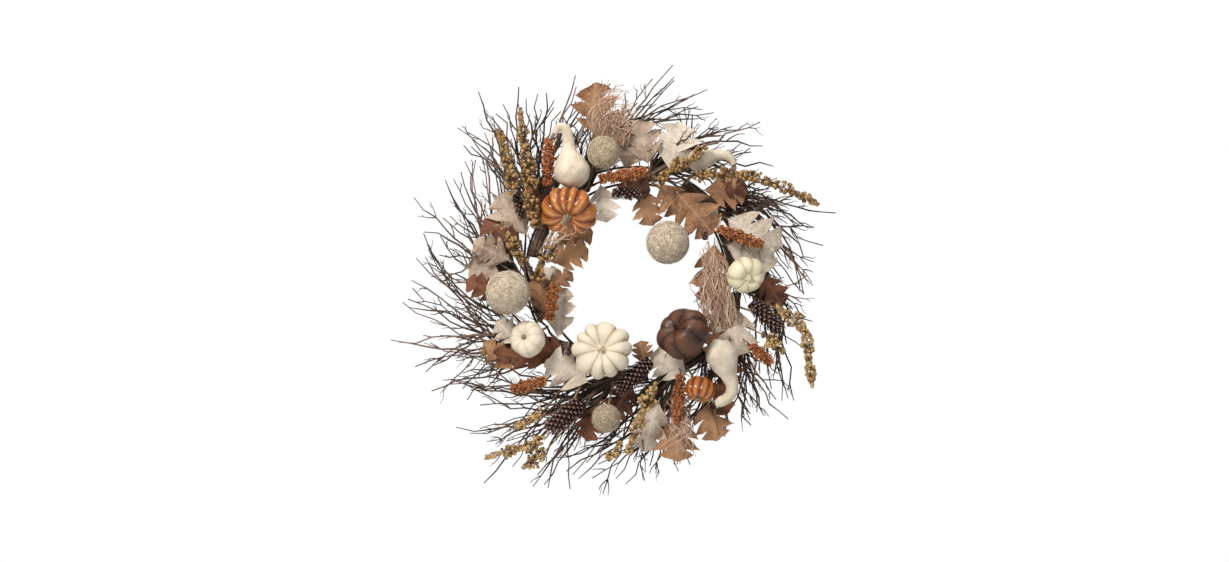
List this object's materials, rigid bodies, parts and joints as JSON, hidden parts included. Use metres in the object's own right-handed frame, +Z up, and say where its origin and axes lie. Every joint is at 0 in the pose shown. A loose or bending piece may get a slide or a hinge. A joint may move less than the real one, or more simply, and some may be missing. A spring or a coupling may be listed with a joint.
{
  "type": "door wreath",
  "caption": "round harvest door wreath of splayed twigs on a wire form, dressed with pumpkins, gourds, cones, berry sprays and fabric oak leaves, with a hinged hanging loop",
  "frame": {"origin": "the point inside the hanging loop where the loop's wire bears on a door hook; the wreath hangs below it", "axes": "+X to the wreath's right as seen from the front, +Y into the door, +Z up; the front faces -Y and the door's surface is just behind the form"},
  "size_m": [0.5864, 0.1154, 0.6109],
  "materials": {
    "form": "satin green-black paint",
    "loop_wire": "bright drawn wire",
    "tie_wire": "brown paint",
    "twig": "rough bark",
    "orange_rind": "glossy glaze",
    "white_rind": "chalky",
    "cream_rind": "satin",
    "brown_rind": "matte",
    "amber_rind": "glossy glaze",
    "gourd_skin": "papery",
    "fibre": "wound fibre",
    "cone": "dry scales",
    "pick": "bare wood",
    "berry": "glossy lacquer",
    "seed": "granular",
    "root": "dry fibre",
    "leaf_cream": "flocked",
    "leaf_taupe": "flocked",
    "leaf_burlap": "open weave",
    "leaf_brown": "smooth"
  },
  "bodies": {
    "hanger": {"hanging_loop": "loop_wire"},
    "wreath": {"amber_pumpkin": "amber_rind", "berry_spray_bottom": "berry", "berry_spray_bottom_left": "berry", "berry_spray_left_inner": "berry", "berry_spray_left_middle": "berry", "berry_spray_left_upper": "berry", "berry_spray_right": "berry", "berry_spray_top": "berry", "berry_spray_top_left": "berry", "berry_spray_top_right": "berry", "bottom_fibre_ball": "fibre", "brown_leaves": "leaf_brown", "brown_pumpkin": "brown_rind", "burlap_leaves_left": "leaf_burlap", "burlap_leaves_lower": "leaf_burlap", "burlap_leaves_top": "leaf_burlap", "centre_fibre_ball": "fibre", "cream_leaves_bottom": "leaf_cream", "cream_leaves_left": "leaf_cream", "cream_leaves_lower_right": "leaf_cream", "cream_leaves_right": "leaf_cream", "cream_leaves_top": "leaf_cream", "cream_pumpkin": "cream_rind", "hooked_gourd": "gourd_skin", "large_white_pumpkin": "white_rind", "left_fibre_ball": "fibre", "long_pine_cone": "cone", "lower_left_pine_cone": "cone", "lying_gourd": "gourd_skin", "orange_pumpkin": "orange_rind", "ornament_picks": "pick", "right_pine_cone": "cone", "root_tuft_bottom": "root", "root_tuft_right": "root", "root_tuft_top": "root", "seed_spike_bottom": "seed", "seed_spike_left_inner": "seed", "seed_spike_left_lower": "seed", "seed_spike_right": "seed", "seed_spike_top": "seed", "seed_spike_top_left": "seed", "small_pine_cones": "cone", "small_white_pumpkin": "white_rind", "swan_neck_gourd": "gourd_skin", "taupe_leaves": "leaf_taupe", "tie_wires": "tie_wire", "top_fibre_ball": "fibre", "top_pine_cone": "cone", "twig_bundle_01": "twig", "twig_bundle_02": "twig", "twig_bundle_03": "twig", "twig_bundle_04": "twig", "twig_bundle_05": "twig", "twig_bundle_06": "twig", "twig_bundle_07": "twig", "twig_bundle_08": "twig", "twig_bundle_09": "twig", "twig_bundle_10": "twig", "wire_frame": "form"}
  },
  "joints": [
    {"name": "loop_hinge", "type": "hinge", "parent": "hanger", "child": "wreath", "pos_m": [0, 0, -0.025], "axis": [-1, 0, 0], "range_deg": [0, 60]}
  ]
}
